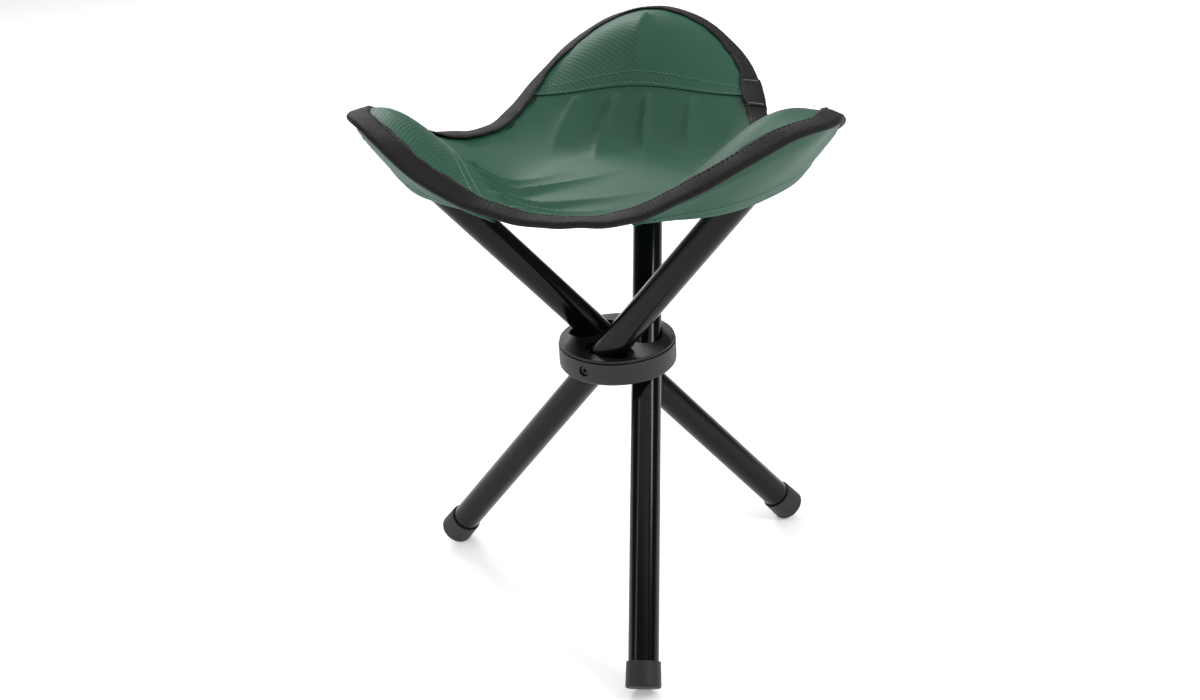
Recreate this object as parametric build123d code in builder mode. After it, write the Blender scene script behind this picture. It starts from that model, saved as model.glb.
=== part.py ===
from build123d import *
import os
from math import atan2, cos, degrees, radians, sin

# Three leg folding stool, millimetres, +Z up.
# The origin is on the floor, under the middle of the hub.
# Legs a, b and c hold the seat's left, right and back corners.

# ---- tubes and their lean -------------------------------------------------
tube_d = 22.0            # 7/8 inch steel tube
tube_wall = 0.9
lean = 39.4              # tube's angle from vertical when the stool is open
pivot_r = 21.5           # pivots' distance from the hub's axis
leg_below = 248.0        # pivot to the sole of the foot cap
leg_above = 253.0        # pivot to the tube's top end

# ---- foot cap and top plug ------------------------------------------------
cap_len = 19.0
cap_lip_r = 12.4
cap_sole_r = 12.9
cap_floor = 3.0
cap_round = 1.8
cap_lip_round = 0.5
cap_gap = 0.03           # bore over tube, per side
plug_head = 2.4
plug_round = 1.6
plug_stem_len = 14.0
plug_gap = 0.05

# ---- hub ------------------------------------------------------------------
hub_r = 43.5
hub_h = 20.0
cover_t = 2.4
cover_r = 42.8
cover_groove = 0.8
cover_round = 0.6
hub_bottom_round = 3.0
slot_clear = 0.5         # slot half-width over the tube's radius
slot_spare = 9.0         # slot's spare lean beyond the open tube, degrees

# ---- pivot screw ----------------------------------------------------------
screw_r = 2.0
screw_hole_clear = 0.08
screw_head_r = 3.5
screw_head_t = 2.6
screw_recess_r = 4.1
screw_recess_depth = 4.2
screw_tip_r = 4.6        # tip's distance from the hub's axis
screw_socket_r = 1.7
screw_socket_depth = 1.4

# ---- seat sling -----------------------------------------------------------
dish_z = 130.0           # middle of the seat over the pivots' level
edge_r_mean = 155.5
edge_r_wave = 28.5       # corners stand out and side middles come in by this
rise_mean = 46.35        # edge's mean height over the middle of the dish
rise_wave = 25.5
rise_second = 5.15
rise_start_r = 60.0      # the flat middle of the dish ends here
rise_run = 98.0
sheet_t = 2.0
seam_u = 107.0           # seam's distance from the axis, along each corner
seam_gap = 0.3
binding_w = 11.0
binding_t = 1.3
binding_gap = 0.1
outline_points = 24      # points on the outline, two per 30 degrees
grid_n = 33
grid_half = 200.0

# ---- corner pocket --------------------------------------------------------
pocket_t = 1.4
pocket_tip_u = 184.0     # outer skin at the corner's tip
pocket_slope = 0.62      # outward lean of the skin, run over rise
pocket_curl = 5.4e-5     # how the skin bends back at the sides
pocket_curl_power = 3.02
pocket_hem_z = 149.0     # hem under the tube, over the pivots' level
pocket_hem_side_z = 151.5
pocket_half_w = 92.0
pocket_turns = (-40, -30, -20, -10, 0, 10, 20, 30, 40)   # degrees each side of the corner
pocket_clear = 4.5       # skin's top edge under the seat's edge
pocket_grid_v = 25
pocket_grid_z = 9

# ---- values that follow ---------------------------------------------------
tube_r = tube_d / 2
lean_sin = sin(radians(lean))
lean_cos = cos(radians(lean))
tube_bottom = -(leg_below - cap_floor)
corner_turn = degrees(atan2(leg_above * lean_sin, pivot_r))
sole_inset = cap_sole_r - cap_round
hub_z = (leg_below - cap_round) * lean_cos + sole_inset * lean_sin + cap_round
cut_height = 2 * hub_z + dish_z        # taller than any piece of the seat
corner_azimuth = {"a": 210.0, "b": 330.0, "c": 90.0}


def pivot_azimuth(leg):
    return corner_azimuth[leg] - corner_turn


def radial(azimuth):
    return Vector(cos(radians(azimuth)), sin(radians(azimuth)), 0)


def pivot_point(leg):
    return radial(pivot_azimuth(leg)) * pivot_r + Vector(0, 0, hub_z)


def tube_direction(leg, angle=lean):
    sideways = radial(pivot_azimuth(leg) + 90)
    return sideways * sin(radians(angle)) + Vector(0, 0, cos(radians(angle)))


def tube_plane(leg, angle=lean):
    """Section across the tube at its pivot, normal along the tube."""
    return Plane(pivot_point(leg), x_dir=radial(pivot_azimuth(leg)), z_dir=tube_direction(leg, angle))


def profile_plane(leg):
    """Plane through the tube's axis: X is the radius, Y runs up the tube."""
    across = radial(pivot_azimuth(leg))
    return Plane(pivot_point(leg), x_dir=across, z_dir=across.cross(tube_direction(leg)))


def screw_plane(leg, distance):
    """Plane square to the pivot screw, at a distance from the hub's axis."""
    outward = radial(pivot_azimuth(leg))
    return Plane(outward * distance + Vector(0, 0, hub_z), x_dir=(0, 0, 1), z_dir=outward)


def corner_plane(leg, distance):
    """Upright plane across a corner: X is sideways, Y is up, normal outward."""
    outward = radial(corner_azimuth[leg])
    return Plane(outward * distance, x_dir=radial(corner_azimuth[leg] + 90), z_dir=outward)


def edge_r(azimuth):
    return edge_r_mean + edge_r_wave * cos(radians(3 * (azimuth - 90)))


def rise(x, y):
    """Height of the sheet's underside over the middle of the dish."""
    turn = radians(3 * (degrees(atan2(y, x)) - 90))
    run = min(max((Vector(x, y).length - rise_start_r) / rise_run, 0), 1)
    height = rise_mean + rise_wave * cos(turn) + rise_second * cos(2 * turn)
    return height * run * run * (3 - 2 * run)


def dish_surface(lift):
    """The sheet's underside as one smooth face, raised by lift."""
    step = 2 * grid_half / (grid_n - 1)
    places = [-grid_half + step * i for i in range(grid_n)]
    base = hub_z + dish_z + lift
    rows = [[Vector(x, y, base + rise(x, y)) for y in places] for x in places]
    return Face.make_surface_from_array_of_points(rows)


def outline(grow):
    """Closed spline round the seat, outside its edge by grow."""
    turns = [360 * i / outline_points for i in range(outline_points)]
    return Spline([radial(turn) * (edge_r(turn) + grow) for turn in turns], periodic=True)


# ---- hub ------------------------------------------------------------------
slot_r = tube_r + slot_clear
slot_lean = lean + slot_spare
cutter_len = 2 * hub_h

with BuildPart() as slot_cutter:
    for leg in corner_azimuth:
        for angle in (0, slot_lean):
            with BuildSketch(tube_plane(leg, angle)):
                Circle(slot_r)
            extrude(amount=cutter_len, both=True)
        with BuildSketch(Plane(pivot_point(leg), x_dir=radial(pivot_azimuth(leg) + 90),
                               z_dir=radial(pivot_azimuth(leg)))):
            reach = cutter_len * sin(radians(slot_lean))
            height = cutter_len * cos(radians(slot_lean))
            for side in (1, -1):
                with BuildLine():
                    Polyline((0, 0), (0, side * height), (side * reach, side * height), close=True)
                make_face()
        extrude(amount=slot_r, both=True)

hub_bottom = hub_z - hub_h / 2
cover_z = hub_z + hub_h / 2 - cover_t

with BuildPart() as hub_body:
    with BuildSketch(Plane.XY.offset(hub_bottom)):
        Circle(hub_r)
    extrude(amount=hub_h - cover_t)
    fillet(hub_body.edges().group_by(Axis.Z)[0], hub_bottom_round)
    fillet(hub_body.edges().group_by(Axis.Z)[-1], cover_round)
    add(slot_cutter.part, mode=Mode.SUBTRACT)
    for leg in corner_azimuth:
        with BuildSketch(screw_plane(leg, screw_tip_r)):
            Circle(screw_r)
        extrude(amount=hub_r, mode=Mode.SUBTRACT)
        with BuildSketch(screw_plane(leg, hub_r - screw_recess_depth)):
            Circle(screw_recess_r)
        extrude(amount=2 * screw_recess_depth, mode=Mode.SUBTRACT)

with BuildPart() as hub_cover:
    with BuildSketch(Plane.XY.offset(cover_z)):
        Circle(cover_r)
    extrude(amount=cover_t)
    chamfer(hub_cover.edges().group_by(Axis.Z)[0], cover_groove)
    fillet(hub_cover.edges().group_by(Axis.Z)[-1], cover_round)
    add(slot_cutter.part, mode=Mode.SUBTRACT)

finished = [(hub_body, "hub_body"), (hub_cover, "hub_cover")]

# ---- legs, screws, caps and plugs -----------------------------------------
for leg in corner_azimuth:
    head_seat = hub_r - screw_recess_depth
    along = Axis(pivot_point(leg), tube_direction(leg))

    with BuildPart() as pivot_screw:
        with BuildSketch(screw_plane(leg, screw_tip_r)):
            Circle(screw_r)
        extrude(amount=head_seat - screw_tip_r)
        with BuildSketch(screw_plane(leg, head_seat)):
            Circle(screw_head_r)
        extrude(amount=screw_head_t)
        with BuildSketch(screw_plane(leg, head_seat + screw_head_t)):
            RegularPolygon(screw_socket_r, 6)
        extrude(amount=-screw_socket_depth, mode=Mode.SUBTRACT)

    with BuildPart() as leg_tube:
        with BuildSketch(tube_plane(leg).offset(tube_bottom)):
            Circle(tube_r)
            Circle(tube_r - tube_wall, mode=Mode.SUBTRACT)
        extrude(amount=leg_above - tube_bottom)
        with BuildSketch(screw_plane(leg, pivot_r)):
            Circle(screw_r + screw_hole_clear)
        extrude(amount=tube_d, both=True, mode=Mode.SUBTRACT)

    with BuildPart() as foot_cap:
        with BuildSketch(profile_plane(leg)):
            with BuildLine():
                bore_r = tube_r + cap_gap
                lip = -leg_below + cap_len
                Polyline((0, -leg_below), (cap_sole_r, -leg_below), (cap_lip_r, lip), (bore_r, lip),
                         (bore_r, tube_bottom), (0, tube_bottom), close=True)
            make_face()
        revolve(axis=along)
        fillet(foot_cap.edges().group_by(along)[0], cap_round)
        fillet(foot_cap.edges().group_by(along)[-1].sort_by(SortBy.RADIUS)[-1], cap_lip_round)

    with BuildPart() as tube_plug:
        with BuildSketch(profile_plane(leg)):
            with BuildLine():
                stem_r = tube_r - tube_wall - plug_gap
                stem_end = leg_above - plug_stem_len
                head_end = leg_above + plug_head
                Polyline((0, stem_end), (stem_r, stem_end), (stem_r, leg_above), (tube_r, leg_above),
                         (tube_r, head_end), (0, head_end), close=True)
            make_face()
        revolve(axis=along)
        fillet(tube_plug.edges().sort_by(along)[-1], plug_round)

    finished += [(pivot_screw, f"pivot_screw_{leg}"), (leg_tube, f"leg_tube_{leg}")]
    finished += [(foot_cap, f"foot_cap_{leg}"), (tube_plug, f"tube_plug_{leg}")]

# ---- seat sling -----------------------------------------------------------
with BuildPart() as sheet:
    extrude(dish_surface(0), amount=sheet_t, dir=(0, 0, 1))
    with BuildSketch():
        with BuildLine():
            outline(0)
        make_face()
    extrude(amount=cut_height, mode=Mode.INTERSECT)

with BuildPart() as seat_panel:
    add(sheet.part)
    for leg in corner_azimuth:
        with BuildSketch(corner_plane(leg, seam_u)):
            Rectangle(cut_height, 2 * cut_height)
        extrude(amount=grid_half, mode=Mode.SUBTRACT)

finished.append((seat_panel, "seat_panel"))

for leg in corner_azimuth:
    with BuildPart() as corner_panel:
        add(sheet.part)
        with BuildSketch(corner_plane(leg, seam_u + seam_gap)):
            Rectangle(cut_height, 2 * cut_height)
        extrude(amount=grid_half, mode=Mode.INTERSECT)
    finished.append((corner_panel, f"corner_panel_{leg}"))

# ---- binding tape round the seat ------------------------------------------
with BuildPart() as binding_groove:
    extrude(dish_surface(-binding_gap), amount=sheet_t + 2 * binding_gap, dir=(0, 0, 1))
    with BuildSketch():
        with BuildLine():
            outline(binding_gap)
        make_face()
    extrude(amount=cut_height, mode=Mode.INTERSECT)

with BuildPart() as edge_binding:
    tape_cover = binding_t + binding_gap
    extrude(dish_surface(-tape_cover), amount=sheet_t + 2 * tape_cover, dir=(0, 0, 1))
    with BuildSketch():
        with BuildLine():
            outline(tape_cover)
        make_face()
        with BuildLine():
            outline(-binding_w)
        make_face(mode=Mode.SUBTRACT)
    extrude(amount=cut_height, mode=Mode.INTERSECT)
    add(binding_groove.part, mode=Mode.SUBTRACT)

finished.append((edge_binding, "edge_binding"))

# ---- pockets that slip over the tubes' tops -------------------------------


def pocket_surface(leg):
    """Inner skin of a pocket: leans outward and curls back at both sides."""
    outward = radial(corner_azimuth[leg])
    sideways = radial(corner_azimuth[leg] + 90)
    half = pocket_half_w + pocket_clear
    low = pocket_hem_z - pocket_clear
    high = dish_z + rise_mean + rise_wave + rise_second
    rows = []
    for i in range(pocket_grid_v):
        v = -half + 2 * half * i / (pocket_grid_v - 1)
        column = []
        for j in range(pocket_grid_z):
            z = low + (high - low) * j / (pocket_grid_z - 1)
            u = pocket_tip_u - pocket_slope * (high - z) - pocket_curl * abs(v) ** pocket_curl_power
            column.append(outward * u + sideways * v + Vector(0, 0, hub_z + z))
        rows.append(column)
    return Face.make_surface_from_array_of_points(rows)


def pocket_top(turn):
    """Point on the pocket's sewn edge, seen square to the corner."""
    reach = radial(90 + turn) * edge_r(90 + turn)
    return (-reach.X, hub_z + dish_z + rise(reach.X, reach.Y) - pocket_clear)


for leg in corner_azimuth:
    with BuildPart() as corner_pocket:
        extrude(pocket_surface(leg), amount=pocket_t, dir=radial(corner_azimuth[leg]))
        with BuildSketch(corner_plane(leg, 0)):
            with BuildLine():
                sewn = Spline([pocket_top(turn) for turn in pocket_turns])
                hem_left = (pocket_top(pocket_turns[0])[0], hub_z + pocket_hem_side_z)
                hem_right = (pocket_top(pocket_turns[-1])[0], hub_z + pocket_hem_side_z)
                Line(sewn @ 0, hem_left)
                ThreePointArc(hem_left, (0, hub_z + pocket_hem_z), hem_right)
                Line(hem_right, sewn @ 1)
            make_face()
        extrude(amount=hub_z + dish_z, mode=Mode.INTERSECT)
    finished.append((corner_pocket, f"corner_pocket_{leg}"))

# ---- files ----------------------------------------------------------------
os.makedirs("parts", exist_ok=True)
for piece, name in finished:
    piece.part.label = name
    export_step(piece.part, f"parts/{name}.step")
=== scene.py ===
import math

import bpy
import numpy as np
from mathutils import Matrix, Vector


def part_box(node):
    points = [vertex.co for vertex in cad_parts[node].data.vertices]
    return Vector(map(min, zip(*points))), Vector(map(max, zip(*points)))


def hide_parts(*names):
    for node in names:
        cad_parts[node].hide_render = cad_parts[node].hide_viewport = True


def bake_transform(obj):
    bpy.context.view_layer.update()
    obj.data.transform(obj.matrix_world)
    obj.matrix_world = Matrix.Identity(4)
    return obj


# Folding three leg stool, in metres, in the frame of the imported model.
# The hub, tubes, caps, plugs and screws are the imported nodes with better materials.
# The sling is built here: cloth panels, pockets, binding tape and stitches.

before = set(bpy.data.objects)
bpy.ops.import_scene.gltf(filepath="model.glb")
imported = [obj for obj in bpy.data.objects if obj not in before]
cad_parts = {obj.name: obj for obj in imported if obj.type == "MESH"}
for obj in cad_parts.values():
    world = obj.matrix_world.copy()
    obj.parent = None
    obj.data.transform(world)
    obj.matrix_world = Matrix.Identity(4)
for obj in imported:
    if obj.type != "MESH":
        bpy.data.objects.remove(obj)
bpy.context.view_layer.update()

MM = 0.001
CORNERS = {"a": 210.0, "b": 330.0, "c": 90.0}      # azimuth of each corner, degrees
HUB_LOW, HUB_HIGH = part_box("hub_body")[0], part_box("hub_cover")[1]
HUB_Z = (HUB_LOW.z + HUB_HIGH.z) / 2

# ---- the sling's shape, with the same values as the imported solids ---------
DISH_Z = HUB_Z + 130.0 * MM      # underside of the sheet at its middle
EDGE_R_MEAN = 155.5 * MM
EDGE_R_WAVE = 28.5 * MM
RISE_MEAN = 46.35 * MM
RISE_WAVE = 25.5 * MM
RISE_SECOND = 5.15 * MM
RISE_START = 60.0 * MM
RISE_RUN = 98.0 * MM
SEAM_U = 107.0 * MM              # the seam across each corner, from the axis
POCKET_TIP_U = 184.0 * MM
POCKET_SLOPE = 0.62
POCKET_CURL = 5.4e-5             # how the skin bends back at the sides, with lengths in mm
POCKET_CURL_POWER = 3.02
POCKET_HEM_Z = DISH_Z + 19.0 * MM
POCKET_HEM_SIDE_Z = DISH_Z + 21.5 * MM

# ---- the cloth's own detail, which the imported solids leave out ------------
SHEET_LIFT = 1.2 * MM            # middle of the cloth over the solid's underside
CLOTH_T = 0.9 * MM
LAYER_RISE = CLOTH_T * 1.05      # a layer of cloth lies this far over the one under it
SEAM_LAP = 9.0 * MM
SEAM_STEP = 0.5 * MM             # the corner panel's folded edge stands up at the seam
SEAM_STEP_SHARE = 0.10           # over this share of the way to the sling's edge
SEAT_TILT = 3.0 / 159.0          # the sling hangs a little lower at corner a than at b
# Where the real edge leaves the regular outline: (azimuth, half-width in degrees, reach in mm).
EDGE_BUMPS = [(210, 26, -9.0), (210, 6, 2.5), (330, 7, 10.0), (64, 16, 7.5), (116, 16, 4.0)]
EDGE_RIPPLES = [(7, 0.7, 0.4), (13, 0.5, 2.1), (29, 0.28, 0.9)]   # waves round the edge, mm, phase
LIP_RUN = 15.0 * MM              # the edge rolls over within this width
LIP_DROP = 3.0 * MM
LIP_REACH = 1.3                  # the roll goes on past the edge, to this many lip widths
LIP_AT_CORNERS = 0.35            # share of the drop that the corners have

POCKET_HALF_TURN = 40.0
POCKET_SEW_IN = 1.5 * MM         # the skin is sewn this far inside the sling's edge
POCKET_SEW_DROP = 2.2 * MM       # and this far under the sheet
POCKET_TUCK = 5.5 * MM           # the hem is drawn in towards the tube
POCKET_SIDE_TUCK = 7.0 * MM      # and more so beside it
POCKET_TUCK_START = 0.2          # share of the way down, past the tube's end
POCKET_TUCK_DEPTH = 25.0 * MM    # a shallower part of the pocket is drawn in less
POCKET_WAVE = 1.2 * MM           # the skin is a little wavy along the corner
POCKET_WAVE_RUN = 17.0 * MM
POCKET_HEM_LIFT = {"a": 8.0 * MM, "b": 2.0 * MM, "c": 0.0}
POCKET_LEAST_DEPTH = 4.0 * MM    # the hem stays under the sewn edge
POCKET_HEM_TURN = 9.0 * MM       # cloth turned up inside the hem
POCKET_HEM_GAP = 1.6 * MM        # between the hem's two layers
POCKET_HEM_FOLD = 0.80           # the hem's fold starts at this share of the way down
POCKET_HEM_PROUD = 0.5 * MM      # the hem stands out from the skin over it
POCKET_HEM_STEP = 0.03           # over this share of the way down
POCKET_HEM_MOST = 0.7            # the turned cloth takes up to this share of a shallow pocket

BINDING_W = 13.5 * MM
BINDING_T = 1.1 * MM
BINDING_GAP = 1.5 * MM           # half of the space inside the folded tape
TAPE_RIPPLE = 0.05               # the tape's width varies by these shares
TAPE_FINE_RIPPLE = 0.03
LAP_START = 45.0                 # azimuths of the place where the tape's ends overlap
LAP_END = 55.0
LAP_WIDER = 0.5 * MM
LAP_GAP = 2.4 * MM

# Rows of thread: from stitch to stitch, length of a stitch, radius of the thread.
SEAM_STITCH = (3.0 * MM, 2.2 * MM, 0.32 * MM)
HEM_STITCH = (3.0 * MM, 2.1 * MM, 0.26 * MM)
BINDING_STITCH = (3.4 * MM, 2.5 * MM, 0.32 * MM)
LAP_STITCH = (1.5 * MM, 1.3 * MM, 0.34 * MM)
BINDING_ROW_IN = 2.2 * MM             # the row's distance from the tape's inner edge
BINDING_ROW_LIFT = 2.75 * MM          # and from the middle of the sheet, up or down
LAP_ROW_IN = 0.8                      # degrees from the lap's ends
LAP_ROW_LIFT = 3.75 * MM
HEM_THREAD_LIFT = 0.6                 # thread over the middle of its cloth, in cloth thicknesses
SEAM_THREAD_LIFT = 1.6
SEAM_ROWS = (2.0 * MM, 8.0 * MM)      # the two rows' distances from the seam
SEAM_ROW_HALF = 84.0 * MM             # half-length of a row that lies SEAM_ROW_U out
SEAM_ROW_U = 110.0 * MM
SEAM_ROW_TAPER = 0.9                  # and how much shorter a row is at each end, for its way further out


def unit(azimuth):
    a = np.radians(azimuth)
    return np.stack([np.cos(a), np.sin(a)], -1)


def edge_r(azimuth):
    """The sling's edge, with its tips' folded tongues and its small unevenness."""
    azimuth = np.asarray(azimuth, float)
    radius = EDGE_R_MEAN + EDGE_R_WAVE * np.cos(np.radians(3 * (azimuth - 90)))
    for place, spread, reach in EDGE_BUMPS:
        turn = (azimuth - place + 180) % 360 - 180
        radius = radius + reach * MM * np.exp(-(turn / spread) ** 2)
    return radius


def smoothstep(x):
    x = np.clip(x, 0, 1)
    return x * x * (3 - 2 * x)


def rise(x, y):
    """Height of the sheet over its middle, before any wrinkle."""
    turn = 3 * (np.arctan2(y, x) - math.pi / 2)
    height = RISE_MEAN + RISE_WAVE * np.cos(turn) + RISE_SECOND * np.cos(2 * turn)
    return height * smoothstep((np.hypot(x, y) - RISE_START) / RISE_RUN) + SEAT_TILT * x


# A wrinkle runs from one place to another: (azimuth, radius) twice, width, height, all lengths in mm.
WRINKLES = [
    # fanning out from the seam at corner a, the long ones across the middle
    (196, 106, 145, 38, 4.6, 4.4), (207, 104, 70, 34, 4.6, 5.0), (219, 106, 345, 46, 4.8, 5.4),
    (232, 110, 302, 54, 4.8, 5.2), (246, 117, 280, 84, 5.0, 4.2),
    # from the seam at corner c: the fold under it, and the crease down from the tube's end
    (90, 160, 89, 104, 6.0, 3.6), (98, 106, 118, 44, 4.8, 6.2), (85, 106, 62, 48, 5.0, 5.0),
    (112, 116, 142, 70, 5.0, 3.8), (68, 114, 36, 70, 5.4, 3.8),
    # from the seam at corner b
    (344, 108, 14, 52, 5.4, 4.2), (331, 106, 342, 58, 5.0, 4.2), (317, 110, 304, 68, 5.0, 5.0),
    (305, 118, 290, 90, 5.0, 4.2),
]
WRINKLE_SIZE = 1.1               # how pronounced the creases are
WRINKLE_STEEP = 0.75             # a ridge's far side is narrower than its near side
WRINKLE_CREST = 1.2              # towards 1 the crest is sharper
WRINKLE_BOW = 0.07               # a crease bends sideways by this share of its length
WRINKLE_NARROW = 0.75            # its width where it starts, as a share of the given one
WRINKLE_WIDEN = 0.9              # and how much is added to that by its end
WRINKLE_COME = 0.12              # shares of its length over which it comes
WRINKLE_GO = 0.7                 # and goes


def wrinkles(x, y):
    """Creases in the cloth, each a narrow ridge that fades at both ends."""
    total = np.zeros_like(x)
    for az0, r0, az1, r1, width, height in WRINKLES:
        p0, p1 = unit(az0) * r0 * MM, unit(az1) * r1 * MM
        run = p1 - p0
        length = np.hypot(*run)
        along = ((x - p0[0]) * run[0] + (y - p0[1]) * run[1]) / length ** 2
        across = ((x - p0[0]) * run[1] - (y - p0[1]) * run[0]) / length
        way = np.clip(along, 0, 1)
        across = across - WRINKLE_BOW * length * np.sin(math.pi * way)
        side_share = np.where(across > 0, 1.0, WRINKLE_STEEP)
        spread = width * MM * (WRINKLE_NARROW + WRINKLE_WIDEN * way) * side_share
        fade = smoothstep(along / WRINKLE_COME) * smoothstep((1 - along) / WRINKLE_GO)
        total += WRINKLE_SIZE * height * MM * fade * np.exp(-np.abs(across / spread) ** WRINKLE_CREST)
    return total


def lip(x, y):
    """The edge rolls down between the corners, and ripples a little."""
    azimuth = np.degrees(np.arctan2(y, x))
    near_edge = np.clip((np.hypot(x, y) - edge_r(azimuth) + LIP_RUN) / LIP_RUN, 0, LIP_REACH)
    between = LIP_AT_CORNERS + (1 - LIP_AT_CORNERS) * (1 - np.cos(np.radians(3 * (azimuth - 90)))) / 2
    ripple = sum(size * np.sin(np.radians(count * azimuth) + phase) for count, size, phase in EDGE_RIPPLES)
    return near_edge ** 2 * (ripple * MM - LIP_DROP * between)


def sheet_z(x, y):
    """Height of the middle of the cloth."""
    return DISH_Z + SHEET_LIFT + rise(x, y) + wrinkles(x, y) + lip(x, y)


# ---- mesh helpers ---------------------------------------------------------
def add_mesh(name, points, faces, uvs=None):
    mesh = bpy.data.meshes.new(name)
    mesh.from_pydata([tuple(p) for p in points], [], [tuple(f) for f in faces])
    if uvs is not None:
        layer = mesh.uv_layers.new(name="cloth")
        loops = np.zeros(len(mesh.loops), np.int32)
        mesh.loops.foreach_get("vertex_index", loops)
        layer.data.foreach_set("uv", np.asarray(uvs)[loops].astype(np.float32).ravel())
    mesh.polygons.foreach_set("use_smooth", [True] * len(mesh.polygons))
    piece = bpy.data.objects.new(name, mesh)
    bpy.context.scene.collection.objects.link(piece)
    return piece


def grid_faces(rows, columns, closed=False):
    faces = []
    for i in range(rows - 1):
        for j in range(columns if closed else columns - 1):
            k = (j + 1) % columns
            faces.append((i * columns + j, i * columns + k, (i + 1) * columns + k, (i + 1) * columns + j))
    return faces


def apply_modifiers(piece):
    """Turns a piece's modifiers into plain mesh."""
    shown = piece.evaluated_get(bpy.context.evaluated_depsgraph_get())
    mesh = bpy.data.meshes.new_from_object(shown)
    piece.modifiers.clear()
    old = piece.data
    piece.data = mesh
    mesh.name = piece.name
    bpy.data.meshes.remove(old)
    return piece


RIM_ANGLE = 55.0                 # a sharper turn than this is a cut edge
WELD_GAP = 0.02 * MM


def thicken(piece, thickness):
    """Gives a surface its cloth thickness and closes its rim."""
    weld = piece.modifiers.new("weld", "WELD")
    weld.merge_threshold = WELD_GAP
    solid = piece.modifiers.new("solid", "SOLIDIFY")
    solid.thickness = thickness
    solid.offset = 0
    apply_modifiers(piece)
    piece.data.set_sharp_from_angle(angle=math.radians(RIM_ANGLE))
    return piece


# ---- materials ------------------------------------------------------------
def new_material(name):
    material = bpy.data.materials.new(name)
    material.use_nodes = True
    nodes = material.node_tree.nodes
    return material, nodes, material.node_tree.links, nodes["Principled BSDF"]


def mix_color(nodes, links, factor, low, high):
    ramp = nodes.new("ShaderNodeValToRGB")
    ramp.color_ramp.elements[0].color = (*low, 1)
    ramp.color_ramp.elements[1].color = (*high, 1)
    links.new(factor, ramp.inputs["Fac"])
    return ramp


def noise(nodes, links, coords, scale, detail=3.0):
    texture = nodes.new("ShaderNodeTexNoise")
    texture.inputs["Scale"].default_value = scale
    texture.inputs["Detail"].default_value = detail
    links.new(coords, texture.inputs["Vector"])
    return texture


def math_node(nodes, links, operation, a, b):
    node = nodes.new("ShaderNodeMath")
    node.operation = operation
    for socket, value in zip(node.inputs, (a, b)):
        if isinstance(value, (int, float)):
            socket.default_value = value
        else:
            links.new(value, socket)
    return node.outputs[0]


def scaled(nodes, links, value, factor, least):
    """The value times a factor, over a least one."""
    return math_node(nodes, links, "ADD", math_node(nodes, links, "MULTIPLY", value, factor), least)


def weighted(nodes, links, parts):
    """The sum of several patterns, each with its share."""
    total = math_node(nodes, links, "MULTIPLY", *parts[0])
    for value, share in parts[1:]:
        total = math_node(nodes, links, "ADD", total, math_node(nodes, links, "MULTIPLY", value, share))
    return total


def bump(nodes, links, height, strength, distance, normal=None):
    node = nodes.new("ShaderNodeBump")
    node.inputs["Strength"].default_value = strength
    node.inputs["Distance"].default_value = distance
    links.new(height, node.inputs["Height"])
    if normal is not None:
        links.new(normal, node.inputs["Normal"])
    return node.outputs["Normal"]


WAVE_PERIOD = 20.0               # Blender's wave texture turns this many radians in a unit


def wave(nodes, links, coords, scale, angle):
    """Fine stripes across the flat cloth, scale in stripes per metre."""
    mapping = nodes.new("ShaderNodeMapping")
    mapping.inputs["Rotation"].default_value[2] = math.radians(angle)
    links.new(coords, mapping.inputs["Vector"])
    texture = nodes.new("ShaderNodeTexWave")
    texture.wave_profile = "SIN"
    texture.inputs["Scale"].default_value = scale * 2 * math.pi / WAVE_PERIOD
    texture.inputs["Distortion"].default_value = 0.6
    texture.inputs["Detail"].default_value = 1.0
    texture.inputs["Detail Scale"].default_value = 2.0
    links.new(mapping.outputs[0], texture.inputs["Vector"])
    return texture.outputs["Fac"]


def canvas_material(name, rib_depth):
    """Green oxford cloth: a diagonal rib, a fine weave, and soft mottling."""
    material, nodes, links, shader = new_material(name)
    uv = nodes.new("ShaderNodeUVMap")
    uv.uv_map = "cloth"
    rib = wave(nodes, links, uv.outputs[0], 400, 35)
    warp = wave(nodes, links, uv.outputs[0], 1300, 0)
    weft = wave(nodes, links, uv.outputs[0], 1300, 90)
    weave = math_node(nodes, links, "MULTIPLY", warp, weft)
    place = nodes.new("ShaderNodeTexCoord")
    cloud = noise(nodes, links, place.outputs["Object"], 18, 4)
    fibre = noise(nodes, links, place.outputs["Object"], 900, 2)
    tone = weighted(nodes, links, [(rib, 0.22), (cloud.outputs["Fac"], 0.5), (fibre.outputs["Fac"], 0.28)])
    ramp = mix_color(nodes, links, tone, (0.012, 0.062, 0.035), (0.030, 0.108, 0.066))
    links.new(ramp.outputs["Color"], shader.inputs["Base Color"])
    links.new(scaled(nodes, links, fibre.outputs["Fac"], 0.15, 0.46), shader.inputs["Roughness"])
    shader.inputs["Specular IOR Level"].default_value = 0.22
    shader.inputs["Sheen Weight"].default_value = 0.05
    shader.inputs["Sheen Roughness"].default_value = 0.45
    shader.inputs["Sheen Tint"].default_value = (0.75, 0.95, 0.85, 1)
    normal = bump(nodes, links, weave, 0.35, 0.12 * MM)
    normal = bump(nodes, links, rib, 0.6, rib_depth, normal)
    normal = bump(nodes, links, cloud.outputs["Fac"], 0.25, 0.8 * MM, normal)
    links.new(normal, shader.inputs["Normal"])
    return material


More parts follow.
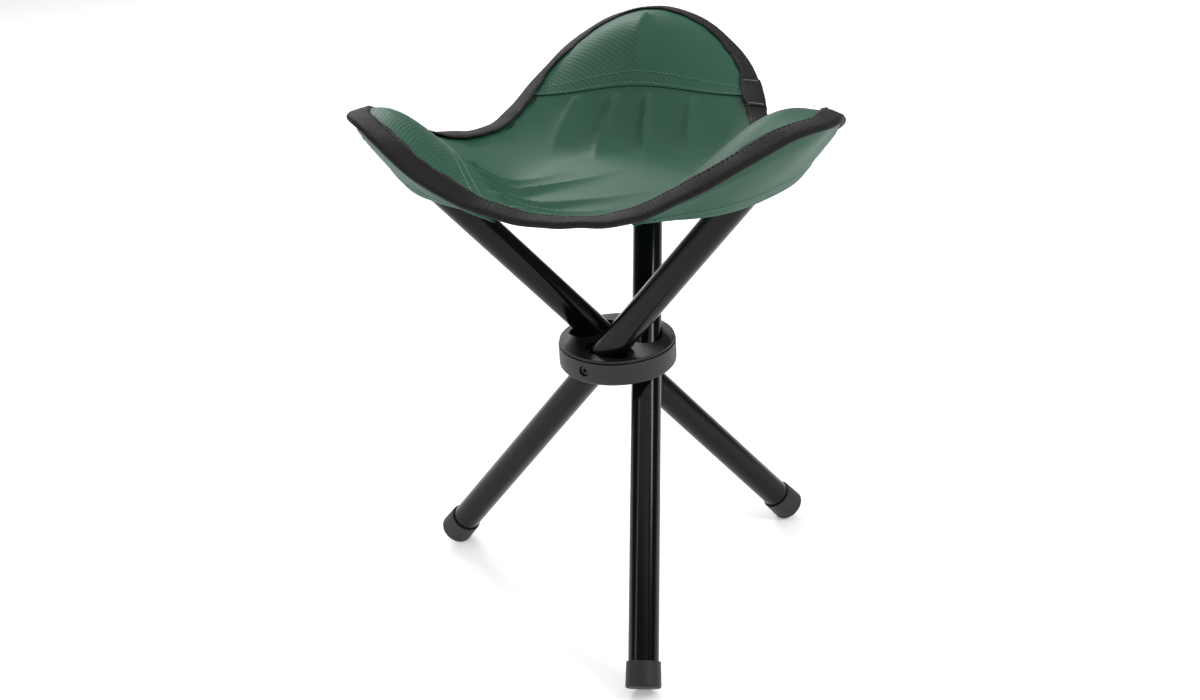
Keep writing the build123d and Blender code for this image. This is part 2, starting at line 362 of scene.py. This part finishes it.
def webbing_material():
    """Black ribbed tape: ribs across its width, fainter rows along it and a fine fibre."""
    material, nodes, links, shader = new_material("black_ribbed_tape")
    uv = nodes.new("ShaderNodeUVMap")
    uv.uv_map = "cloth"
    ribs = wave(nodes, links, uv.outputs[0], 620, 0)
    rows = wave(nodes, links, uv.outputs[0], 700, 90)
    place = nodes.new("ShaderNodeTexCoord")
    fibre = noise(nodes, links, place.outputs["Object"], 1100, 3)
    cloud = noise(nodes, links, place.outputs["Object"], 60, 3)
    tone = weighted(nodes, links, [(ribs, 0.45), (fibre.outputs["Fac"], 0.55)])
    ramp = mix_color(nodes, links, tone, (0.002, 0.002, 0.0023), (0.020, 0.018, 0.019))
    links.new(ramp.outputs["Color"], shader.inputs["Base Color"])
    links.new(scaled(nodes, links, cloud.outputs["Fac"], 0.2, 0.55), shader.inputs["Roughness"])
    shader.inputs["Specular IOR Level"].default_value = 0.18
    shader.inputs["Sheen Weight"].default_value = 0.03
    shader.inputs["Sheen Roughness"].default_value = 0.4
    height = math_node(nodes, links, "ADD", ribs, math_node(nodes, links, "MULTIPLY", rows, 0.4))
    normal = bump(nodes, links, height, 0.8, 0.25 * MM)
    normal = bump(nodes, links, fibre.outputs["Fac"], 0.3, 0.15 * MM, normal)
    links.new(normal, shader.inputs["Normal"])
    return material


def thread_material(name, low, high):
    material, nodes, links, shader = new_material(name)
    place = nodes.new("ShaderNodeTexCoord")
    fibre = noise(nodes, links, place.outputs["Object"], 2500, 2)
    ramp = mix_color(nodes, links, fibre.outputs["Fac"], low, high)
    links.new(ramp.outputs["Color"], shader.inputs["Base Color"])
    shader.inputs["Roughness"].default_value = 0.55
    links.new(bump(nodes, links, fibre.outputs["Fac"], 0.5, 0.1 * MM), shader.inputs["Normal"])
    return material


def painted_tube_material():
    """Gloss black powder coat: a faint orange peel under a clear gloss."""
    material, nodes, links, shader = new_material("gloss_black_powder_coat")
    place = nodes.new("ShaderNodeTexCoord")
    peel = noise(nodes, links, place.outputs["Object"], 420, 2)
    smudge = noise(nodes, links, place.outputs["Object"], 22, 4)
    ramp = mix_color(nodes, links, smudge.outputs["Fac"], (0.0015, 0.0015, 0.0018), (0.0035, 0.0035, 0.004))
    links.new(ramp.outputs["Color"], shader.inputs["Base Color"])
    links.new(scaled(nodes, links, smudge.outputs["Fac"], 0.08, 0.13), shader.inputs["Roughness"])
    shader.inputs["Specular IOR Level"].default_value = 0.2
    links.new(bump(nodes, links, peel.outputs["Fac"], 0.08, 0.2 * MM), shader.inputs["Normal"])
    return material


def moulded_material(name, low, high, roughness, grain_scale, grain_depth):
    """Moulded plastic or rubber with a fine spark-eroded grain."""
    material, nodes, links, shader = new_material(name)
    place = nodes.new("ShaderNodeTexCoord")
    grain = noise(nodes, links, place.outputs["Object"], grain_scale, 2)
    cloud = noise(nodes, links, place.outputs["Object"], 45, 4)
    ramp = mix_color(nodes, links, cloud.outputs["Fac"], low, high)
    links.new(ramp.outputs["Color"], shader.inputs["Base Color"])
    links.new(scaled(nodes, links, cloud.outputs["Fac"], 0.16, roughness), shader.inputs["Roughness"])
    links.new(bump(nodes, links, grain.outputs["Fac"], 0.35, grain_depth), shader.inputs["Normal"])
    return material


def blackened_steel_material():
    material, nodes, links, shader = new_material("blackened_steel")
    place = nodes.new("ShaderNodeTexCoord")
    smudge = noise(nodes, links, place.outputs["Object"], 300, 3)
    ramp = mix_color(nodes, links, smudge.outputs["Fac"], (0.02, 0.02, 0.022), (0.06, 0.06, 0.065))
    links.new(ramp.outputs["Color"], shader.inputs["Base Color"])
    links.new(scaled(nodes, links, smudge.outputs["Fac"], 0.2, 0.28), shader.inputs["Roughness"])
    shader.inputs["Metallic"].default_value = 0.9
    return material


def paint(piece, material):
    piece.data.materials.clear()
    piece.data.materials.append(material)


CANVAS = canvas_material("green_oxford_cloth", 0.03 * MM)
RIBBED_CANVAS = canvas_material("green_ribbed_cloth", 0.17 * MM)
WEBBING = webbing_material()
GREEN_THREAD = thread_material("green_thread", (0.07, 0.20, 0.13), (0.16, 0.34, 0.25))
BLACK_THREAD = thread_material("black_thread", (0.012, 0.012, 0.013), (0.04, 0.04, 0.042))
GREY_THREAD = thread_material("grey_thread", (0.16, 0.16, 0.17), (0.34, 0.34, 0.35))
TUBE_PAINT = painted_tube_material()
HUB_PLASTIC = moulded_material("satin_black_moulding", (0.006, 0.006, 0.007), (0.012, 0.012, 0.013),
                               roughness=0.42, grain_scale=1500, grain_depth=0.10 * MM)
CAP_RUBBER = moulded_material("black_rubber", (0.005, 0.005, 0.006), (0.011, 0.011, 0.012),
                              roughness=0.46, grain_scale=1100, grain_depth=0.12 * MM)
SCREW_STEEL = blackened_steel_material()

for leg in CORNERS:
    paint(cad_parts[f"leg_tube_{leg}"], TUBE_PAINT)
    paint(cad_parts[f"foot_cap_{leg}"], CAP_RUBBER)
    paint(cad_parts[f"tube_plug_{leg}"], CAP_RUBBER)
    paint(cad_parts[f"pivot_screw_{leg}"], SCREW_STEEL)
paint(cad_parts["hub_body"], HUB_PLASTIC)
paint(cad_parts["hub_cover"], HUB_PLASTIC)


# ---- the sling ------------------------------------------------------------
def seam_share(turn, azimuth, seam_u):
    """How far out the seam lies, as a share of the way to the edge."""
    reach = edge_r(azimuth) * np.cos(np.radians(turn))
    return np.minimum(seam_u / reach, 1.0)


def cloth_uv(x, y, corner):
    """Flat coordinates of the cloth, turned with its corner."""
    a = math.radians(CORNERS[corner])
    return np.stack([x * math.cos(a) + y * math.sin(a), y * math.cos(a) - x * math.sin(a)], -1)


def blend_to_corner(piece):
    """Bakes the piece's placement into its mesh."""
    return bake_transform(piece)


def middle_cloth(corner):
    """A third of the middle panel, from the centre to the seam or the edge."""
    turns = np.linspace(-60, 60, 121)
    shares = np.linspace(0, 1, 84)
    azimuth = CORNERS[corner] + turns
    last = seam_share(turns, azimuth, SEAM_U + SEAM_LAP)
    radius = shares[:, None] * (last * edge_r(azimuth))[None, :]
    x = radius * unit(azimuth)[None, :, 0]
    y = radius * unit(azimuth)[None, :, 1]
    z = sheet_z(x, y)
    points = np.stack([x, y, z], -1).reshape(-1, 3)
    one_grain = cloth_uv(x, y, "c").reshape(-1, 2)      # the middle is one panel, so its weave runs one way
    piece = add_mesh(f"seat_cloth_{corner}", points, grid_faces(len(shares), len(turns)), one_grain)
    thicken(piece, CLOTH_T)
    paint(piece, CANVAS)
    return piece


def corner_cloth(corner):
    """The corner panel: it laps over the middle panel at the seam."""
    turns = np.linspace(-48, 48, 121)
    azimuth = CORNERS[corner] + turns
    first = seam_share(turns, azimuth, SEAM_U)
    keep = first < 0.999
    turns, azimuth, first = turns[keep], azimuth[keep], first[keep]
    shares = np.linspace(0, 1, 60)
    share = first[None, :] + shares[:, None] * (1 - first)[None, :]
    radius = share * edge_r(azimuth)[None, :]
    x = radius * unit(azimuth)[None, :, 0]
    y = radius * unit(azimuth)[None, :, 1]
    lap = SEAM_STEP * (1 - smoothstep((share - first[None, :]) / SEAM_STEP_SHARE))
    z = sheet_z(x, y) + LAYER_RISE + lap
    points = np.stack([x, y, z], -1).reshape(-1, 3)
    piece = add_mesh(f"corner_cloth_{corner}", points, grid_faces(len(shares), len(turns)),
                     cloth_uv(x, y, corner).reshape(-1, 2))
    thicken(piece, CLOTH_T)
    paint(piece, RIBBED_CANVAS)
    return piece


def pocket_cloth(corner):
    """The pocket under a corner: sewn to both edges, its hem turned under and stitched."""
    azimuth = CORNERS[corner] + np.linspace(-POCKET_HALF_TURN, POCKET_HALF_TURN, 97)
    sewn = unit(azimuth) * (edge_r(azimuth) - POCKET_SEW_IN)[:, None]
    out = unit(CORNERS[corner])
    side = unit(CORNERS[corner] + 90)
    u_edge = sewn @ out
    v = sewn @ side
    sideways = (v / abs(v).max()) ** 2
    z_edge = sheet_z(sewn[:, 0], sewn[:, 1]) - POCKET_SEW_DROP
    z_hem = POCKET_HEM_Z + (POCKET_HEM_SIDE_Z - POCKET_HEM_Z) * sideways
    z_hem = np.minimum(z_hem + POCKET_HEM_LIFT[corner], z_edge - POCKET_LEAST_DEPTH)
    tip_z = DISH_Z + RISE_MEAN + RISE_WAVE + RISE_SECOND
    curl = POCKET_CURL * MM * (abs(v) / MM) ** POCKET_CURL_POWER
    tuck = (POCKET_TUCK + POCKET_SIDE_TUCK * sideways) * np.minimum(1, (z_edge - z_hem) / POCKET_TUCK_DEPTH)
    phase = CORNERS[corner]      # any number that differs from pocket to pocket
    to_edge = u_edge - (POCKET_TIP_U - POCKET_SLOPE * (tip_z - z_edge) - curl)

    def skin(drops):
        """How far out and how high the skin is, at shares of the way down to the hem."""
        z = z_edge + (z_hem - z_edge) * drops
        u = POCKET_TIP_U - POCKET_SLOPE * (tip_z - z) - curl + to_edge * (1 - drops) ** 2
        u = u + POCKET_WAVE * np.sin(math.pi * drops) * np.sin(v / POCKET_WAVE_RUN + phase)
        u = u + POCKET_HEM_PROUD * smoothstep((drops - POCKET_HEM_FOLD) / POCKET_HEM_STEP)
        return u - tuck * np.clip((drops - POCKET_TUCK_START) / (1 - POCKET_TUCK_START), 0, 1), z

    down = np.linspace(0, 1, 50)[:, None] * np.ones_like(v)
    u_out, z_out = skin(down)
    turned = np.linspace(0.1, 1, 8)[:, None] * POCKET_HEM_TURN / (z_edge - z_hem)
    u_in, z_in = skin(1 - np.minimum(turned, POCKET_HEM_MOST))
    u = np.vstack([u_out, u_in - POCKET_HEM_GAP])
    z = np.vstack([z_out, z_in])
    x = u * out[0] + v * side[0]
    y = u * out[1] + v * side[1]
    run = np.vstack([z_out, 2 * z_hem - z_in])
    uvs = np.stack([np.broadcast_to(v, z.shape), run], -1).reshape(-1, 2)
    piece = add_mesh(f"pocket_cloth_{corner}", np.stack([x, y, z], -1).reshape(-1, 3),
                     grid_faces(len(z), len(v)), uvs)
    thicken(piece, CLOTH_T)
    paint(piece, RIBBED_CANVAS)
    row = int(POCKET_HEM_FOLD * len(down)) + 2
    path = np.column_stack([x[row], y[row], z[row]])[4:-4]
    outward = np.broadcast_to(np.array([out[0], out[1], 0.0]), path.shape)
    path = path + outward * CLOTH_T * HEM_THREAD_LIFT
    stitches = stitch_row(f"hem_stitch_{corner}", path, outward, HEM_STITCH, GREEN_THREAD)
    return piece, stitches


def binding_frame(azimuth):
    """Edge point, direction along the edge, inward direction along the sheet, and the sheet's normal."""
    def at(a, grow):
        p = unit(a) * (edge_r(a) + grow)[:, None]
        return np.column_stack([p, sheet_z(p[:, 0], p[:, 1])])
    here = at(azimuth, 0 * azimuth)
    along = at(azimuth + 0.5, 0 * azimuth) - at(azimuth - 0.5, 0 * azimuth)
    along /= np.linalg.norm(along, axis=1)[:, None]
    inward = at(azimuth, 0 * azimuth - 6 * MM) - here
    inward -= (inward * along).sum(1)[:, None] * along
    inward /= np.linalg.norm(inward, axis=1)[:, None]
    normal = np.cross(inward, along)
    normal *= np.sign(normal[:, 2:3])
    return here, along, inward, normal


def tape_profile(width, thickness, gap):
    """Closed section of the folded tape: (inward, up) points round a U."""
    over = gap + thickness
    outer = [(width, over * 0.75), (width * 0.92, over), (width * 0.5, over * 1.12), (width * 0.12, over)]
    turns = [math.radians(t) for t in range(20, 180, 20)]
    bend = [(-over * math.sin(t) * 0.9, over * math.cos(t)) for t in turns]
    outer_low = [(p[0], -p[1]) for p in reversed(outer)]
    inner_low = [(width, -gap), (width * 0.5, -gap * 1.1), (0.6 * MM, -gap)]
    inner_high = [(p[0], -p[1]) for p in reversed(inner_low)]
    return outer + bend + outer_low + inner_low + inner_high


def tape(name, azimuths, width, thickness, gap, capped=True):
    """Tape folded over the edge of the sheet, over a range of azimuths."""
    here, _, inward, normal = binding_frame(azimuths)
    profile = np.array(tape_profile(width, thickness, gap))
    turn = np.radians(azimuths)
    ripple = 1 + TAPE_RIPPLE * np.sin(turn * 23) + TAPE_FINE_RIPPLE * np.sin(turn * 61)
    points = (here[:, None, :] + inward[:, None, :] * (profile[None, :, 0:1] * ripple[:, None, None])
              + normal[:, None, :] * profile[None, :, 1:2])
    steps = np.linalg.norm(np.diff(here, axis=0), axis=1)
    length = np.concatenate([[0], np.cumsum(steps)])
    around = np.concatenate([[0], np.cumsum(np.linalg.norm(np.diff(profile, axis=0), axis=1))])
    uvs = np.stack(np.broadcast_arrays(length[:, None], around[None, :]), -1).reshape(-1, 2)
    count = len(profile)
    faces = grid_faces(len(azimuths), count, closed=True)
    if capped:
        faces.append(tuple(range(count)))
        faces.append(tuple(range((len(azimuths) - 1) * count, len(azimuths) * count))[::-1])
    piece = add_mesh(name, points.reshape(-1, 3), faces, uvs)
    paint(piece, WEBBING)
    return piece


def stitch_row(name, path, normals, thread, material):
    """A row of short sunk threads along a path."""
    pitch, stitch, radius = thread
    steps = np.linalg.norm(np.diff(path, axis=0), axis=1)
    length = np.concatenate([[0], np.cumsum(steps)])
    count = int(length[-1] / pitch)
    sides = 6
    stations = (-0.5, -0.36, 0.0, 0.36, 0.5)      # places along a stitch, in stitch lengths
    swell = (0.15, 0.85, 1.0, 0.85, 0.15)         # and the thread's radius there
    points, faces = [], []
    for i in range(count):
        middle = (i + 0.5) * pitch
        base = len(points)
        for station, size in zip(stations, swell):
            s = middle + station * stitch
            p = np.array([np.interp(s, length, path[:, k]) for k in range(3)])
            q = np.array([np.interp(s + 0.2 * MM, length, path[:, k]) for k in range(3)])
            n = np.array([np.interp(s, length, normals[:, k]) for k in range(3)])
            t = (q - p) / (np.linalg.norm(q - p) + 1e-12)
            b = np.cross(t, n)
            b /= np.linalg.norm(b) + 1e-12
            n = np.cross(b, t)
            lift = n * radius * (1.2 * size - 0.8)
            for k in range(sides):
                a = 2 * math.pi * k / sides
                points.append(p + lift + (b * math.cos(a) + n * math.sin(a)) * radius * size)
        for j in range(len(stations) - 1):
            for k in range(sides):
                m = (k + 1) % sides
                faces.append((base + j * sides + k, base + j * sides + m,
                              base + (j + 1) * sides + m, base + (j + 1) * sides + k))
        faces.append(tuple(base + k for k in range(sides))[::-1])
        faces.append(tuple(base + (len(stations) - 1) * sides + k for k in range(sides)))
    piece = add_mesh(name, points, faces)
    paint(piece, material)
    return piece


def sheet_line(xy, lift):
    """Points on the cloth over a plan line, with the cloth's normals."""
    x, y = xy[:, 0], xy[:, 1]
    h = 0.5 * MM
    z = sheet_z(x, y)
    normal = np.column_stack([(z - sheet_z(x + h, y)) / h, (z - sheet_z(x, y + h)) / h, np.ones_like(x)])
    normal /= np.linalg.norm(normal, axis=1)[:, None]
    return np.column_stack([x, y, z]) + normal * lift, normal


def binding_lap():
    """The tape's two ends overlap beside corner c, held by grey stitches."""
    lap = tape("binding_lap", np.linspace(LAP_START, LAP_END, 31), BINDING_W + LAP_WIDER, BINDING_T, LAP_GAP)
    blend_to_corner(lap)
    for i, azimuth in enumerate((LAP_START + LAP_ROW_IN, LAP_END - LAP_ROW_IN)):
        here, along, inward, normal = binding_frame(np.array([azimuth]))
        across = np.linspace(0.5 * MM, BINDING_W - 0.8 * MM, 40)
        zigzag = 0.5 * MM * np.sin(across / MM * math.pi)
        path = here + inward * across[:, None] + along * zigzag[:, None] + normal * LAP_ROW_LIFT
        normals = np.repeat(normal, len(path), 0)
        row = stitch_row(f"lap_stitch_{i + 1}", path, normals, LAP_STITCH, GREY_THREAD)
        blend_to_corner(row)


def cover_corner(corner):
    """The cloth that belongs to one corner: its third of the middle, its panel and its pocket."""
    middle = middle_cloth(corner)
    blend_to_corner(middle)
    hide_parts("seat_panel")

    panel = corner_cloth(corner)
    blend_to_corner(panel)
    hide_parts(f"corner_panel_{corner}")

    pocket, hem_stitches = pocket_cloth(corner)
    blend_to_corner(pocket)
    blend_to_corner(hem_stitches)
    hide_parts(f"corner_pocket_{corner}")


def bind_corner(corner):
    """The tape round one corner's third of the edge, and its stitches on both faces."""
    azimuths = np.linspace(CORNERS[corner] - 60, CORNERS[corner] + 60, 241)
    band = tape(f"binding_tape_{corner}", azimuths, BINDING_W, BINDING_T, BINDING_GAP, capped=False)
    blend_to_corner(band)
    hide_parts("edge_binding")

    here, _, inward, normal = binding_frame(azimuths)
    for label, sign in (("top", 1), ("under", -1)):
        name = f"binding_stitch_{label}_{corner}"
        path = here + inward * (BINDING_W - BINDING_ROW_IN) + normal * sign * BINDING_ROW_LIFT
        row = stitch_row(name, path, normal * sign, BINDING_STITCH, BLACK_THREAD)
        blend_to_corner(row)


def stitch_seam(corner):
    """Two rows of stitches along the seam between the middle and the corner panel."""
    out = unit(CORNERS[corner])
    side = unit(CORNERS[corner] + 90)
    for i, inset in enumerate(SEAM_ROWS):
        reach = SEAM_ROW_HALF - SEAM_ROW_TAPER * (SEAM_U + inset - SEAM_ROW_U)
        v = np.linspace(-reach, reach, 120)
        xy = out[None, :] * (SEAM_U + inset) + side[None, :] * v[:, None]
        path, up = sheet_line(xy, CLOTH_T * SEAM_THREAD_LIFT)
        row = stitch_row(f"seam_stitch_{i + 1}_{corner}", path, up, SEAM_STITCH, GREEN_THREAD)
        blend_to_corner(row)


for corner in CORNERS:
    cover_corner(corner)
    bind_corner(corner)
    stitch_seam(corner)
binding_lap()

# ---- floor, light and camera ----------------------------------------------
FLOOR_HALF = 30.0
FLOOR_GLOW = 0.34                # the floor shines a little by itself, so that it reads as white
SEAT_CENTRE = Vector((0, 0, 0.3))
WORLD_STRENGTH = 0.14
SKY_HEIGHT = 3.2
SKY_SIZE = 6.0
SKY_POWER = 130
# Soft lights round the seat: name, metres to the camera's right, ahead of it and up, size, watts.
SOFTBOXES = [
    ("key_softbox", 1.3, -0.7, 1.0, (0.3, 0.8), 12),
    ("fill_softbox", -1.5, -0.6, 0.5, (0.2, 1.4), 4),
    ("back_softbox", -0.5, 1.5, 0.9, (0.9, 0.25), 16),
]

# The camera stands in front of the stool and over it. These seven values were fitted by least squares,
# so that the feet, the hub and the seat's edge come where the reference view has them.
VIEW_AZIMUTH = 103.4             # the way from the camera to the hub, seen from above
VIEW_DISTANCE = 1.360
VIEW_HEIGHT = 25.37              # elevation of the camera over the hub, degrees
VIEW_PITCH = 25.38
VIEW_YAW = -0.61
VIEW_ROLL = -3.27
VIEW_LENS = 55.04


def level_heading(azimuth):
    """The level direction with this azimuth."""
    turn = math.radians(azimuth)
    return Vector((math.cos(turn), math.sin(turn), 0))


def build_stage():
    corners = [(-FLOOR_HALF, -FLOOR_HALF, 0), (FLOOR_HALF, -FLOOR_HALF, 0),
               (FLOOR_HALF, FLOOR_HALF, 0), (-FLOOR_HALF, FLOOR_HALF, 0)]
    floor = add_mesh("floor", corners, [(0, 1, 2, 3)])
    material, nodes, links, shader = new_material("pale_floor")
    place = nodes.new("ShaderNodeTexCoord")
    cloud = noise(nodes, links, place.outputs["Object"], 3, 2)
    ramp = mix_color(nodes, links, cloud.outputs["Fac"], (0.86, 0.86, 0.86), (0.90, 0.90, 0.90))
    links.new(ramp.outputs["Color"], shader.inputs["Base Color"])
    shader.inputs["Roughness"].default_value = 0.75
    shader.inputs["Emission Color"].default_value = (1, 1, 1, 1)
    shader.inputs["Emission Strength"].default_value = FLOOR_GLOW
    paint(floor, material)


def area_light(name, place, target, size, power):
    data = bpy.data.lights.new(name, "AREA")
    data.shape = "RECTANGLE"
    data.size, data.size_y = size
    data.energy = power
    light = bpy.data.objects.new(name, data)
    light.location = place
    light.rotation_euler = (target - place).to_track_quat("-Z", "Y").to_euler()
    bpy.context.scene.collection.objects.link(light)


def build_light():
    world = bpy.data.worlds.new("studio")
    world.use_nodes = True
    world.node_tree.nodes["Background"].inputs[0].default_value = (0.95, 0.97, 1.0, 1)
    world.node_tree.nodes["Background"].inputs[1].default_value = WORLD_STRENGTH
    bpy.context.scene.world = world
    ahead = level_heading(VIEW_AZIMUTH)
    right = Vector((ahead.y, -ahead.x, 0))
    for name, to_right, to_front, up, size, power in SOFTBOXES:
        place = SEAT_CENTRE + right * to_right + ahead * to_front + Vector((0, 0, up))
        area_light(name, place, SEAT_CENTRE, size, power)
    area_light("sky_softbox", Vector((0, 0, SKY_HEIGHT)), Vector((0, 0, 0)), (SKY_SIZE, SKY_SIZE), SKY_POWER)


def build_camera():
    data = bpy.data.cameras.new("camera")
    data.lens = VIEW_LENS
    data.sensor_width = 36
    camera = bpy.data.objects.new("camera", data)
    bpy.context.scene.collection.objects.link(camera)
    height = math.radians(VIEW_HEIGHT)
    back = level_heading(VIEW_AZIMUTH) * VIEW_DISTANCE * math.cos(height)
    camera.location = Vector((0, 0, HUB_Z)) - back
    camera.location.z += VIEW_DISTANCE * math.sin(height)
    pitch = math.radians(VIEW_PITCH)
    look = level_heading(VIEW_AZIMUTH - VIEW_YAW) * math.cos(pitch)
    look.z = -math.sin(pitch)
    turned = look.to_track_quat("-Z", "Y").to_matrix().to_4x4()
    rolled = Matrix.Rotation(math.radians(VIEW_ROLL), 4, "Z")
    camera.matrix_world = Matrix.Translation(camera.location) @ turned @ rolled
    bpy.context.scene.camera = camera


build_stage()
build_light()
build_camera()
bpy.context.scene.view_settings.view_transform = "Standard"
